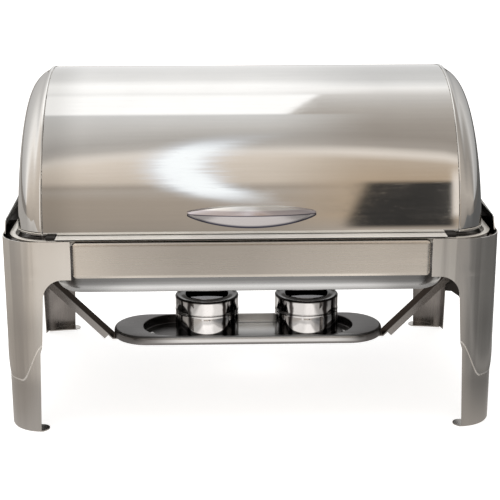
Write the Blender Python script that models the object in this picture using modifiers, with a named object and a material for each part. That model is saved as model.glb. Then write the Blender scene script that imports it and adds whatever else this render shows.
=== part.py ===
"""Roll top chafer: a buffet food warmer whose half-cylinder cover rolls back on two side pins.

Metres, +Z up. The front faces -Y and the floor is Z = 0. Every size below is measured from the
middle of the frame, and one empty then centres the whole object, handle included, on the origin.
"""
import math

import bmesh
import bpy
from mathutils import Euler

# Driving dimensions of the frame
LENGTH = 0.650
DEPTH = 0.434
FRAME_TOP = 0.2626
SHEET = 0.0012
GAP = 0.0003
CORNER = 0.047
FLANGE_EDGE = 0.2327
SIDE_FLANGE_EDGE = 0.147
FOOT_SHEET = 0.0016

# Driving dimensions of the cover
COVER_HALF_DEPTH = 0.198
COVER_HEIGHT = 0.190
COVER_HEM = 0.266
COVER_END = 0.306
COVER_SEAM = 0.2690
COVER_EDGE = 0.042
COVER_DRAFT = 0.03
SEAM_STEP = 0.0008
PIVOT_Z = 0.276
PIN_RADIUS = 0.0035
HANDLE_HALF = 0.083
HANDLE_Z = 0.2940
HANDLE_FRONT = 0.2310
SCREW_X = 0.0760

# Driving dimensions of the pans, a full-size gastronorm pan in its water bath
FOOD_RIM = (0.265, 0.1625)
FOOD_DEPTH = 0.065
WATER_RIM = (0.278, 0.1755)
WATER_BODY = (0.264, 0.163)
WATER_BOTTOM = 0.1720
WATER_RIM_TOP = 0.2600
PAN_SHEET = 0.0009

# Driving dimensions of the fuel shelf and the two fuel holders
SHELF_HALF = (0.1975, 0.054)
SHELF_TOP = 0.074
SHELF_LIP = 0.0598
RECESS_HALF = (0.1555, 0.0488)
RECESS_FLOOR = 0.0605
STRUT_WIDTH = 0.028
STRUT_SHEET = 0.0015
STRUT_KNEE = 0.1990
HOLDER_X = {"left": -0.0605, "right": 0.0860}
HOLDER_RADIUS = 0.0466
HOLDER_JOINT = 0.1010
HOLDER_TOP = 0.1225
DAMPER_PIVOT_Y = 0.0385

# Worked out from the driving dimensions
HALF_LENGTH = LENGTH / 2
HALF_DEPTH = DEPTH / 2
LEG_INSIDE = HALF_LENGTH - SHEET
PANEL_OUTSIDE = LEG_INSIDE - GAP
PANEL_INSIDE = PANEL_OUTSIDE - SHEET
APRON_HALF = FLANGE_EDGE - 0.0020
CENTRING_Y = (HANDLE_FRONT - HALF_DEPTH) / 2
BORE_RADIUS = PIN_RADIUS + GAP

SIDES = {"left": -1, "right": 1}
ENDS = {"front": -1, "rear": 1}

# Finish name: colour, roughness, metallic
FINISHES = {
    "polished_steel": ((0.72, 0.70, 0.67), 0.12, 1.0),
    "brushed_steel": ((0.66, 0.63, 0.58), 0.32, 1.0),
    "dark_steel": ((0.38, 0.36, 0.35), 0.30, 1.0),
    "chrome": ((0.80, 0.80, 0.80), 0.06, 1.0),
    "pan_steel": ((0.70, 0.70, 0.70), 0.25, 1.0),
    "rubber": ((0.03, 0.03, 0.03), 0.70, 0.0),
    "nylon": ((0.80, 0.79, 0.75), 0.45, 0.0),
    "tin": ((0.62, 0.62, 0.60), 0.35, 1.0),
}


def clear_scene():
    """Remove whatever the open file holds."""
    for obj in list(bpy.data.objects):
        bpy.data.objects.remove(obj, do_unlink=True)


def new_collection(name):
    collection = bpy.data.collections.new(name)
    bpy.context.scene.collection.children.link(collection)
    return collection


def new_empty(name, location, parent=None):
    empty = bpy.data.objects.new(name, None)
    empty.empty_display_size = 0.02
    empty.location = location
    empty.parent = parent
    PARTS.objects.link(empty)
    return empty


def finish_material(name, finish):
    """A metal, rubber or plastic surface with the named finish."""
    colour, roughness, metallic = FINISHES[finish]
    material = bpy.data.materials.new(name + "_finish")
    material.use_nodes = True
    shader = material.node_tree.nodes["Principled BSDF"]
    shader.inputs["Base Color"].default_value = (*colour, 1.0)
    shader.inputs["Roughness"].default_value = roughness
    shader.inputs["Metallic"].default_value = metallic
    return material


def hang(obj, axis_empty):
    """Put an object under an empty, which stands on a joint axis, without moving the object."""
    obj.parent = axis_empty
    if axis_empty is not CHAFER:
        obj.location -= axis_empty.location
        if axis_empty.parent is not CHAFER:
            obj.location -= axis_empty.parent.location


def make_part(name, mesh, finish, axis_empty, smooth_angle=35):
    """Wrap a mesh as one named piece of the chafer."""
    obj = bpy.data.objects.new(name, mesh)
    PARTS.objects.link(obj)
    mesh.materials.append(finish_material(name, finish))
    if len(mesh.polygons):
        mesh.shade_smooth()
        mesh.set_sharp_from_angle(angle=math.radians(smooth_angle))
    hang(obj, axis_empty)
    return obj


def make_tool(name, mesh):
    """Wrap a mesh as a cutter or as a shape that is joined into a piece."""
    obj = bpy.data.objects.new(name, mesh)
    TOOLS.objects.link(obj)
    obj.hide_render = True
    obj.display_type = "WIRE"
    obj.parent = CHAFER
    return obj


def boolean(obj, tool, operation="DIFFERENCE", solver="EXACT"):
    modifier = obj.modifiers.new(tool.name, "BOOLEAN")
    modifier.operation = operation
    modifier.object = tool
    modifier.solver = solver


def thicken(obj, thickness, side=-1):
    """Give an open surface its sheet thickness, behind it (-1) or in front of it (1)."""
    modifier = obj.modifiers.new("thickness", "SOLIDIFY")
    modifier.thickness = thickness
    modifier.offset = side
    modifier.use_even_offset = True


def mesh_from(bm, name):
    mesh = bpy.data.meshes.new(name)
    bm.to_mesh(mesh)
    bm.free()
    return mesh


def arc(cx, cy, radius, start, end, steps):
    """Points along an arc, with its angles in degrees."""
    points = []
    for i in range(steps + 1):
        angle = math.radians(start + (end - start) * i / steps)
        points.append((cx + radius * math.cos(angle), cy + radius * math.sin(angle)))
    return points


def rounded_rectangle(half_x, half_y, radius, steps=5):
    """A counter-clockwise outline with rounded corners."""
    x = half_x - radius
    y = half_y - radius
    points = []
    for cx, cy, start in ((x, y, 0), (-x, y, 90), (-x, -y, 180), (x, -y, 270)):
        points += arc(cx, cy, radius, start, start + 90, steps)
    return points


def at_height(outline, z):
    return [(x, y, z) for x, y in outline]


def loft(name, rings, closed=True, cap_first=False, cap_last=False):
    """Skin equal-length rings of points with quads."""
    bm = bmesh.new()
    rows = [[bm.verts.new(point) for point in ring] for ring in rings]
    count = len(rings[0])
    spans = count if closed else count - 1
    for low, high in zip(rows, rows[1:]):
        for i in range(spans):
            j = (i + 1) % count
            bm.faces.new((low[i], low[j], high[j], high[i]))
    if cap_first:
        bm.faces.new(list(reversed(rows[0])))
    if cap_last:
        bm.faces.new(rows[-1])
    return mesh_from(bm, name)


def cylinder_mesh(name, radius, length, centre, axis="Z", segments=16, top_radius=None):
    """A capped cylinder or cone along X, Y or Z."""
    bm = bmesh.new()
    top = radius if top_radius is None else top_radius
    bmesh.ops.create_cone(bm, cap_ends=True, segments=segments, radius1=radius, radius2=top, depth=length)
    angles = {"X": (0, math.pi / 2, 0), "Y": (-math.pi / 2, 0, 0), "Z": (0, 0, 0)}[axis]
    turn = Euler(angles).to_matrix().to_4x4()
    bmesh.ops.transform(bm, matrix=turn, verts=bm.verts)
    bmesh.ops.translate(bm, vec=centre, verts=bm.verts)
    return mesh_from(bm, name)


def box_mesh(name, low, high):
    bm = bmesh.new()
    bmesh.ops.create_cube(bm, size=1.0)
    size = [b - a for a, b in zip(low, high)]
    centre = [(a + b) / 2 for a, b in zip(low, high)]
    bmesh.ops.scale(bm, vec=size, verts=bm.verts)
    bmesh.ops.translate(bm, vec=centre, verts=bm.verts)
    return mesh_from(bm, name)


# Turns that stand a flat outline up: local X, Y and thickness become the named world axes
UPRIGHT_XZ = (math.pi / 2, 0, 0)
UPRIGHT_YZ = (math.pi / 2, 0, math.pi / 2)


def plate_mesh(name, outline, thickness, centre, turn=(0, 0, 0)):
    """A flat plate from a 2D curve, made a closed mesh so that holes can be cut in it."""
    curve = bpy.data.curves.new(name, "CURVE")
    curve.dimensions = "2D"
    curve.fill_mode = "BOTH"
    curve.extrude = thickness / 2
    spline = curve.splines.new("POLY")
    spline.points.add(len(outline) - 1)
    for point, (x, y) in zip(spline.points, outline):
        point.co = (x, y, 0, 1)
    spline.use_cyclic_u = True
    guide = bpy.data.objects.new(name, curve)
    TOOLS.objects.link(guide)
    bpy.context.view_layer.update()
    evaluated = guide.evaluated_get(bpy.context.evaluated_depsgraph_get())
    mesh = bpy.data.meshes.new_from_object(evaluated)
    bpy.data.objects.remove(guide, do_unlink=True)
    bm = bmesh.new()
    bm.from_mesh(mesh)
    bmesh.ops.remove_doubles(bm, verts=bm.verts, dist=0.00001)
    bmesh.ops.transform(bm, matrix=Euler(turn).to_matrix().to_4x4(), verts=bm.verts)
    bmesh.ops.translate(bm, vec=centre, verts=bm.verts)
    bmesh.ops.recalc_face_normals(bm, faces=bm.faces)
    bm.to_mesh(mesh)
    bm.free()
    mesh.name = name
    mesh.materials.clear()
    return mesh


def turned_part(name, profile, centre, finish, axis_empty, segments=24, closed=False):
    """A turned piece: its profile runs down the outer side at +X and screws round Z."""
    bm = bmesh.new()
    verts = [bm.verts.new((radius, 0, z)) for radius, z in profile]
    for a, b in zip(verts, verts[1:]):
        bm.edges.new((a, b))
    if closed:
        bm.edges.new((verts[-1], verts[0]))
    obj = make_part(name, mesh_from(bm, name), finish, axis_empty)
    obj.location.x += centre[0]
    obj.location.y += centre[1]
    screw = obj.modifiers.new("turn", "SCREW")
    screw.steps = segments
    screw.render_steps = segments
    screw.use_merge_vertices = True
    screw.merge_threshold = 0.00001
    screw.use_smooth_shade = True
    return obj


# Frame ----------------------------------------------------------------------------------------


def leg_outline():
    """The plan of the front right leg's sheet: front flange, rounded corner, side flange."""
    centre_x = HALF_LENGTH - CORNER
    centre_y = HALF_DEPTH - CORNER
    corner = arc(centre_x, -centre_y, CORNER, -90, 0, 7)
    return [(FLANGE_EDGE, -HALF_DEPTH)] + corner + [(HALF_LENGTH, -SIDE_FLANGE_EDGE)]


def foot_outline():
    """The plan of that leg's foot: the sheet's end folded in along the floor, with a round tip."""
    middle = SHEET / 2
    centre_x = HALF_LENGTH - CORNER
    centre_y = HALF_DEPTH - CORNER
    tip = (0.2812, -0.2035)
    tip_radius = 0.0110
    points = arc(centre_x, -centre_y, CORNER - middle, -90, -22, 5)
    points += [(0.3010, -0.1905), (0.2860, -0.1925)]
    return points + arc(tip[0], tip[1], tip_radius, 90, 240, 5)


def arch_outline(low_edge, high_edge, radius, top, overrun=0.01):
    """The opening between two legs: tapering edges, quarter-round shoulders and a flat top."""
    slope = (high_edge - low_edge) / (top - radius)
    right = [(low_edge - slope * overrun, -overrun)]
    right += arc(high_edge - radius, top - radius, radius, 0, 90, 6)
    left = [(-x, z) for x, z in reversed(right)]
    return right + left


def evaluated_mesh(obj):
    """The object's mesh with its modifiers applied."""
    bpy.context.view_layer.update()
    evaluated = obj.evaluated_get(bpy.context.evaluated_depsgraph_get())
    return bpy.data.meshes.new_from_object(evaluated)


def mirrored_mesh(mesh, name, side, end):
    """A copy of the front right leg's mesh for another corner, without slivers."""
    bm = bmesh.new()
    bm.from_mesh(mesh)
    flat = math.radians(0.05)
    bmesh.ops.dissolve_limit(bm, angle_limit=flat, verts=bm.verts, edges=bm.edges)
    bmesh.ops.triangulate(bm, faces=bm.faces)
    bmesh.ops.scale(bm, vec=(side, -end, 1), verts=bm.verts)
    if side * end > 0:
        bmesh.ops.reverse_faces(bm, faces=bm.faces)
    return mesh_from(bm, name)


def make_legs():
    """Four sheet legs, all mirrored from one that two arches cut from the front and the side."""
    through = 1.0
    front_arch = arch_outline(low_edge=0.2805, high_edge=0.2700, radius=0.026, top=0.2111)
    side_arch = arch_outline(low_edge=0.1740, high_edge=0.1600, radius=0.013, top=0.0980)
    front = plate_mesh("front_arch", front_arch, through, (0, 0, 0), UPRIGHT_XZ)
    ends = plate_mesh("side_arch", side_arch, through, (0, 0, 0), UPRIGHT_YZ)
    foot = plate_mesh("leg_foot", foot_outline(), FOOT_SHEET, (0, 0, FOOT_SHEET / 2))
    outline = leg_outline()
    rings = [at_height(outline, FOOT_SHEET / 2), at_height(outline, FRAME_TOP)]
    pattern = make_tool("leg_pattern", loft("leg_pattern", rings, closed=False))
    thicken(pattern, SHEET)
    boolean(pattern, make_tool("front_arch", front))
    boolean(pattern, make_tool("side_arch", ends))
    boolean(pattern, make_tool("leg_foot", foot), "UNION", "MANIFOLD")
    mesh = evaluated_mesh(pattern)
    for end_name, end in ENDS.items():
        for side_name, side in SIDES.items():
            name = f"leg_{end_name}_{side_name}"
            make_part(name, mirrored_mesh(mesh, name, side, end), "polished_steel", CHAFER)


def end_panel_outline():
    """The end panel: low arch below, sloping shoulders and a rounded ear for the pin above."""
    half = 0.165
    low = [(y, 0.100 - 0.030 * (y / half) ** 2) for y in (-half, -0.11, -0.055, 0, 0.055, 0.11, half)]
    ear = arc(0, PIVOT_Z, 0.0155, 25, 155, 6)
    right = [(half, 0.2600), (0.156, 0.2745), (0.148, 0.2760), (0.040, 0.2805), (0.0165, 0.2815)]
    left = [(-y, z) for y, z in reversed(right)]
    return low + right + ear + left


def make_end_panels(pin_cutters):
    for side_name, side in SIDES.items():
        name = f"end_panel_{side_name}"
        middle = side * (PANEL_OUTSIDE - SHEET / 2)
        mesh = plate_mesh(name, end_panel_outline(), SHEET, (middle, 0, 0), UPRIGHT_YZ)
        panel = make_part(name, mesh, "polished_steel", CHAFER)
        boolean(panel, pin_cutters[side_name])


def make_aprons():
    """Front and rear aprons, shallow panels with returned edges."""
    low, high = 0.2122, 0.2606
    bend = 0.0045
    depth = 0.0077
    half_z = (high - low) / 2
    for end_name, end in ENDS.items():
        name = f"{end_name}_apron"
        rings = [at_height(rounded_rectangle(APRON_HALF, half_z, 0.0040, 2), 0.0)]
        for angle in (0, 30, 60, 90):
            inset = bend * (1 - math.cos(math.radians(angle)))
            rise = depth - bend + bend * math.sin(math.radians(angle))
            outline = rounded_rectangle(APRON_HALF - inset, half_z - inset, 0.0050 - inset, 2)
            rings.append(at_height(outline, rise))
        apron = make_part(name, loft(name, rings, cap_last=True), "brushed_steel", CHAFER)
        thicken(apron, SHEET)
        apron.rotation_euler = (-end * math.pi / 2, 0, 0)
        apron.location = (0, end * (HALF_DEPTH - depth), (low + high) / 2)


def make_ledges():
    """A raised ledge under the hem in front, and a flat strip at the rear, where the cover rolls down."""
    name = "front_ledge"
    half, top = 0.2515, 0.2648
    outer_edge = HALF_DEPTH - SHEET - GAP
    low = (-half, -outer_edge, top - SHEET)
    ledge = make_part(name, box_mesh(name, low, (half, -0.1800, top)), "polished_steel", CHAFER)
    low = (-APRON_HALF, -0.2080, FRAME_TOP - SHEET)
    rib = box_mesh(name + "_rib", low, (APRON_HALF, -0.2030, top - SHEET / 2))
    boolean(ledge, make_tool(name + "_rib", rib), "UNION")
    name = "rear_ledge"
    low = (-APRON_HALF, 0.2015, FRAME_TOP - SHEET)
    high = (APRON_HALF, HALF_DEPTH - 0.0002, FRAME_TOP)
    make_part(name, box_mesh(name, low, high), "polished_steel", CHAFER)


def make_collar():
    """The ring that guides the cover's hem: a flat band with a lip turned down inside."""
    top = FRAME_TOP - SHEET - GAP
    lip = 0.0085
    outer = rounded_rectangle(0.3170, 0.2090, 0.0530)
    inner = rounded_rectangle(0.3090, 0.2010, 0.0450)
    rings = [at_height(outer, top), at_height(inner, top), at_height(inner, top - lip)]
    collar = make_part("collar", loft("collar", rings), "polished_steel", CHAFER)
    thicken(collar, SHEET)


def make_bumpers():
    """Two rubber pads on the collar that the closed cover's hem rests on."""
    for side_name, side in SIDES.items():
        name = f"cover_bumper_{side_name}"
        middle = side * 0.2585
        low = (middle - 0.0065, -0.2075, FRAME_TOP - SHEET)
        high = (middle + 0.0065, -0.1940, COVER_HEM - GAP)
        bumper = make_part(name, box_mesh(name, low, high), "rubber", CHAFER)
        bevel = bumper.modifiers.new("edges", "BEVEL")
        bevel.width = 0.0010
        bevel.segments = 1


def make_pan_support():
    """The ring under the water pan's rim, carried by brackets in front and at the sides."""
    top = WATER_RIM_TOP - PAN_SHEET - GAP
    sheet = 0.0015
    web = 0.0110
    outer = rounded_rectangle(0.2785, 0.1760, 0.0500)
    inner = rounded_rectangle(0.2680, 0.1665, 0.0405)
    rings = [at_height(outer, top - web), at_height(outer, top), at_height(inner, top)]
    ring = make_part("pan_support_ring", loft("pan_support_ring", rings), "dark_steel", CHAFER)
    thicken(ring, sheet)
    # The brackets stay in the front half, where the cover never rolls down
    start = 0.2785 + GAP
    stop = PANEL_INSIDE - GAP - sheet
    level = 0.2440
    for side_name, side in SIDES.items():
        name = f"ring_bracket_{side_name}"
        path = [(start, level + 0.010), (start, level), (stop, level), (stop, level - 0.016)]
        rows = [[(side * x, y, z) for x, z in path] for y in (-0.130, -0.035)]
        if side < 0:
            rows.reverse()
        bracket = make_part(name, loft(name, rows, closed=False), "dark_steel", CHAFER, 20)
        thicken(bracket, sheet, 1)
    near = HALF_DEPTH - SHEET - GAP - sheet
    for side_name, side in SIDES.items():
        name = f"front_bracket_{side_name}"
        path = [(-0.1763, 0.2540), (-0.1763, 0.2400), (-near, 0.2400), (-near, 0.2240)]
        middle = side * 0.150
        rows = [[(x, y, z) for y, z in path] for x in (middle + 0.015, middle - 0.015)]
        bracket = make_part(name, loft(name, rows, closed=False), "dark_steel", CHAFER, 20)
        thicken(bracket, sheet, -1)


def make_hinge_pins():
    """Pins through the end panels, each with a spacer, a washer and a nut inside the cover."""
    inner_end = 0.2965
    for side_name, side in SIDES.items():
        length = LEG_INSIDE - inner_end
        middle = side * (LEG_INSIDE + inner_end) / 2
        name = f"hinge_pin_{side_name}"
        shaft = cylinder_mesh(name, PIN_RADIUS, length, (middle, 0, PIVOT_Z), "X")
        pin = make_part(name, shaft, "chrome", CHAFER)
        head_x = side * (PANEL_OUTSIDE + GAP + 0.0006)
        head = cylinder_mesh(name + "_head", 0.0075, SHEET, (head_x, 0, PIVOT_Z), "X")
        boolean(pin, make_tool(name + "_head", head), "UNION")


def make_hinge_rings(pin_cutters):
    """The spacer and the nylon washer outside each cover wall, and the nut inside it."""
    pieces = (
        ("hinge_spacer", 0.0060, 0.3081, PANEL_INSIDE - GAP, "chrome", 16),
        ("hinge_washer", 0.0080, 0.3065, 0.3078, "nylon", 16),
        ("hinge_nut", 0.0070, 0.2980, 0.3016, "chrome", 6),
    )
    for side_name, side in SIDES.items():
        for kind, radius, start, stop, finish, segments in pieces:
            name = f"{kind}_{side_name}"
            middle = (side * (start + stop) / 2, 0, PIVOT_Z)
            ring = cylinder_mesh(name, radius, stop - start, middle, "X", segments)
            boolean(make_part(name, ring, finish, CHAFER), pin_cutters[side_name])


# Cover ----------------------------------------------------------------------------------------


def cover_section(x, inset, steps=20):
    """The cover's half-round section at a length x, drawn in by an inset, from front to rear hem."""
    points = []
    for i in range(steps + 1):
        angle = math.pi * (1 - i / steps)
        y = (COVER_HALF_DEPTH - inset) * math.cos(angle)
        z = (COVER_HEIGHT - inset) * math.sin(angle)
        points.append((x, y, COVER_HEM + z))
    return points


def drafted(ring, side):
    """Lean a section of the end wall inwards as it rises, and put it on its side."""
    return [(side * (x - COVER_DRAFT * (z - COVER_HEM)), y, z) for x, y, z in ring]


def make_cover_ends(pin_cutters):
    """End caps: the section closes in round an edge and ends in a flat half-round wall."""
    for side_name, side in SIDES.items():
        name = f"cover_end_{side_name}"
        seam = COVER_SEAM + GAP
        rings = []
        for x in (seam, seam + 0.0040):
            rings.append([(side * x, y, z) for _, y, z in cover_section(x, 0.0)])
        for angle in (28, 46, 62, 76, 90):
            inset = COVER_EDGE * (1 - math.cos(math.radians(angle)))
            x = COVER_END - COVER_EDGE * (1 - math.sin(math.radians(angle)))
            rings.append(drafted(cover_section(x, inset), side))
        if side < 0:
            rings = [list(reversed(ring)) for ring in rings]
        mesh = loft(name, [list(reversed(ring)) for ring in rings], closed=False, cap_last=True)
        end = make_part(name, mesh, "polished_steel", LID_AXIS, 50)
        thicken(end, SHEET)
        boolean(end, pin_cutters[side_name])


def make_cover_panel():
    """The rolled sheet between the end caps, set in by the seam step."""
    rings = [cover_section(x, SEAM_STEP, 28) for x in (-COVER_SEAM, COVER_SEAM)]
    panel = make_part("cover_panel", loft("cover_panel", rings, closed=False), "polished_steel", LID_AXIS, 50)
    thicken(panel, SHEET, 1)
    for side_name, side in SIDES.items():
        centre = (side * SCREW_X, -COVER_HALF_DEPTH, HANDLE_Z)
        hole = cylinder_mesh("handle_hole", 0.0024, 0.05, centre, "Y", 12)
        boolean(panel, make_tool(f"handle_hole_{side_name}", hole))


def make_handle():
    """A bowed, leaf-shaped grip with a ridge along its middle, pointed at both ends."""
    back = 0.2003
    foot_depth = 0.0040
    lip = 0.0012
    rings = []
    steps = 12
    for i in range(steps + 1):
        t = -1 + 2 * i / steps
        fullness = math.sqrt(max(0.0, 1 - t * t))
        half_height = 0.0024 + 0.0118 * fullness ** 1.8
        ridge = HANDLE_Z + 0.0035 * fullness
        reach = back + foot_depth + (HANDLE_FRONT - back - foot_depth) * fullness ** 1.3
        thickness = 0.0030 + 0.0010 * fullness
        x = HANDLE_HALF * t
        rim = reach - 0.0070 * fullness - 0.0006
        ring = [
            (x, -reach, ridge),
            (x, -rim, HANDLE_Z - half_height),
            (x, -(rim - lip), HANDLE_Z - half_height),
            (x, -(reach - thickness), ridge),
            (x, -(rim - lip), HANDLE_Z + half_height),
            (x, -rim, HANDLE_Z + half_height),
        ]
        rings.append(ring)
    mesh = loft("handle", rings, cap_first=True, cap_last=True)
    bm = bmesh.new()
    bm.from_mesh(mesh)
    bmesh.ops.recalc_face_normals(bm, faces=bm.faces)
    bm.to_mesh(mesh)
    bm.free()
    make_part("handle", mesh, "chrome", LID_AXIS)


def make_handle_screws():
    """Screws from inside the cover into the ends of the handle."""
    for side_name, side in SIDES.items():
        name = f"handle_screw_{side_name}"
        x = side * SCREW_X
        shaft = cylinder_mesh(name, 0.0020, 0.0130, (x, -0.1955, HANDLE_Z), "Y", 12)
        screw = make_part(name, shaft, "chrome", LID_AXIS)
        head = cylinder_mesh(name + "_head", 0.0045, 0.0026, (x, -0.1903, HANDLE_Z), "Y", 12)
        boolean(screw, make_tool(name + "_head", head), "UNION")


def make_hinge_plates(pin_cutters):
    """Doubling plates that stiffen the cover's walls round the pins."""
    thickness = 0.0015
    outline = [(-0.014, -0.0093), (0.014, -0.0093)] + arc(0, 0.008, 0.014, 0, 180, 8)
    wall_inside = COVER_END - COVER_DRAFT * (PIVOT_Z - COVER_HEM) - SHEET
    for side_name, side in SIDES.items():
        name = f"hinge_plate_{side_name}"
        mesh = plate_mesh(name, outline, thickness, (0, 0, 0), UPRIGHT_YZ)
        plate = make_part(name, mesh, "dark_steel", LID_AXIS)
        plate.location = (side * (wall_inside - GAP - thickness / 2), 0, 0)
        plate.rotation_euler.y = -side * math.atan(COVER_DRAFT)
        boolean(plate, pin_cutters[side_name])


# Pans -----------------------------------------------------------------------------------------


def pan_rings(rim, body, rim_top, bottom, rim_radius, edge, taper):
    """The underside of a pan: rim, straight walls, rounded bottom edge."""
    under = rim_top - PAN_SHEET
    body_radius = rim_radius - (rim[0] - body[0]) + 0.004
    rings = [
        at_height(rounded_rectangle(rim[0], rim[1], rim_radius), under - 0.0030),
        at_height(rounded_rectangle(rim[0], rim[1], rim_radius), under),
        at_height(rounded_rectangle(body[0], body[1], body_radius), under),
    ]
    for angle in (0, 30, 60, 90):
        inset = taper + edge * (1 - math.cos(math.radians(angle)))
        z = bottom + edge * (1 - math.sin(math.radians(angle)))
        radius = max(body_radius - inset, 0.006)
        rings.append(at_height(rounded_rectangle(body[0] - inset, body[1] - inset, radius), z))
    return rings


def make_pans():
    """The water pan in its ring, and the food pan that hangs in it by its rim."""
    water = pan_rings(WATER_RIM, WATER_BODY, WATER_RIM_TOP, WATER_BOTTOM, 0.050, 0.020, 0.001)
    water_pan = make_part("water_pan", loft("water_pan", water[1:], cap_last=True), "pan_steel", WATER_AXIS)
    thicken(water_pan, PAN_SHEET, 1)
    food_top = WATER_RIM_TOP + GAP + PAN_SHEET
    body = (FOOD_RIM[0] - 0.0125, FOOD_RIM[1] - 0.0125)
    food = pan_rings(FOOD_RIM, body, food_top, food_top - FOOD_DEPTH, 0.045, 0.014, 0.005)
    food_pan = make_part("food_pan", loft("food_pan", food[1:], cap_last=True), "pan_steel", FOOD_AXIS)
    thicken(food_pan, PAN_SHEET, 1)


# Fuel shelf and holders -----------------------------------------------------------------------


def make_fuel_shelf(foot_cutters):
    """A pressed tray with rounded ends, a rolled-down lip and one long recess."""
    x, y = SHELF_HALF
    rx, ry = RECESS_HALF
    outer = 0.0520
    stadium = 0.0480

    def outline(inset):
        return rounded_rectangle(x - inset, y - inset, outer - inset, 7)

    def recess(inset):
        return rounded_rectangle(rx - inset, ry - inset, stadium - inset, 7)

    rings = [
        at_height(outline(0.0), SHELF_LIP),
        at_height(outline(0.0), SHELF_TOP - 0.0040),
        at_height(outline(0.0012), SHELF_TOP - 0.0012),
        at_height(outline(0.0040), SHELF_TOP),
        at_height(recess(0.0), SHELF_TOP),
        at_height(recess(0.0008), SHELF_TOP - 0.0010),
        at_height(recess(0.0010), RECESS_FLOOR + 0.0008),
        at_height(recess(0.0016), RECESS_FLOOR),
    ]
    shelf = make_part("fuel_shelf", loft("fuel_shelf", rings, cap_last=True), "dark_steel", CHAFER)
    thicken(shelf, SHEET)
    for cutter in foot_cutters:
        boolean(shelf, cutter)


def make_strut(side_name, side, cutters):
    """A bent channel from under the shelf up to the end panel."""
    foot_top = RECESS_FLOOR - SHEET - GAP
    reach = PANEL_INSIDE - GAP - STRUT_SHEET
    rise = reach - STRUT_KNEE
    tab_top = foot_top + rise + 0.024
    path = [(0.1280, foot_top), (STRUT_KNEE, foot_top), (reach, foot_top + rise), (reach, tab_top)]
    half = STRUT_WIDTH / 2
    rows = [[(side * x, y, z) for x, z in path] for y in (-half, half)]
    if side < 0:
        rows.reverse()
    name = f"shelf_strut_{side_name}"
    strut = make_part(name, loft(name, rows, closed=False), "dark_steel", CHAFER, 20)
    thicken(strut, STRUT_SHEET, -1)
    slope = math.sqrt(0.5)
    flange = 0.0090
    overlap = 0.0007
    start, stop = 0.0060, rise - 0.0100

    def along(distance, depth):
        return (STRUT_KNEE + distance + slope * depth, foot_top + distance - slope * depth)

    outline = [along(start, overlap), along(start, flange), along(stop, flange), along(stop, overlap)]
    placed = [(side * x, z) for x, z in outline]
    for edge_name, edge in ENDS.items():
        middle = (0, edge * (half - STRUT_SHEET / 2 - 0.0001), 0)
        web = plate_mesh(f"{name}_{edge_name}_flange", placed, STRUT_SHEET, middle, UPRIGHT_XZ)
        boolean(strut, make_tool(f"{name}_{edge_name}_flange", web), "UNION")
    for cutter in cutters:
        boolean(strut, cutter)


def make_rivet(name, centre, axis, head_sign, reach):
    """A rivet whose shaft runs through two sheets, with a domed head on one side."""
    index = "XYZ".index(axis)
    shaft_centre = list(centre)
    head_centre = list(centre)
    head = 0.0018
    shaft_centre[index] -= head_sign * (reach / 2 - 0.0003)
    head_centre[index] += head_sign * head / 2
    shaft = cylinder_mesh(name, 0.0020, reach, shaft_centre, axis, 10)
    rivet = make_part(name, shaft, "chrome", CHAFER)
    low, high = (0.0042, 0.0026) if head_sign > 0 else (0.0026, 0.0042)
    dome = cylinder_mesh(name + "_head", low, head, head_centre, axis, 12, high)
    boolean(rivet, make_tool(name + "_head", dome), "UNION")


def make_shelf_assembly():
    """The shelf, its two struts and the rivets that hold them."""
    foot_x = 0.1430
    strut_rise = PANEL_INSIDE - GAP - STRUT_SHEET - STRUT_KNEE
    tab_z = RECESS_FLOOR + strut_rise + 0.0130
    hole = 0.0023
    shelf_cutters = []
    for side_name, side in SIDES.items():
        foot = cylinder_mesh("foot_hole", hole, 0.010, (side * foot_x, 0, RECESS_FLOOR - 0.002), "Z", 10)
        foot_cutter = make_tool(f"foot_hole_{side_name}", foot)
        tab = cylinder_mesh("tab_hole", hole, 0.010, (side * PANEL_INSIDE, 0, tab_z), "X", 10)
        tab_cutter = make_tool(f"tab_hole_{side_name}", tab)
        make_strut(side_name, side, (foot_cutter, tab_cutter))
        boolean(bpy.data.objects[f"end_panel_{side_name}"], tab_cutter)
        shelf_cutters.append(foot_cutter)
        make_rivet(f"shelf_rivet_{side_name}", (side * foot_x, 0, RECESS_FLOOR + GAP), "Z", 1, 0.0030)
        tab_x = side * (PANEL_INSIDE - STRUT_SHEET - 2 * GAP)
        make_rivet(f"strut_rivet_{side_name}", (tab_x, 0, tab_z), "X", -side, 0.0033)
    make_fuel_shelf(shelf_cutters)


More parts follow.
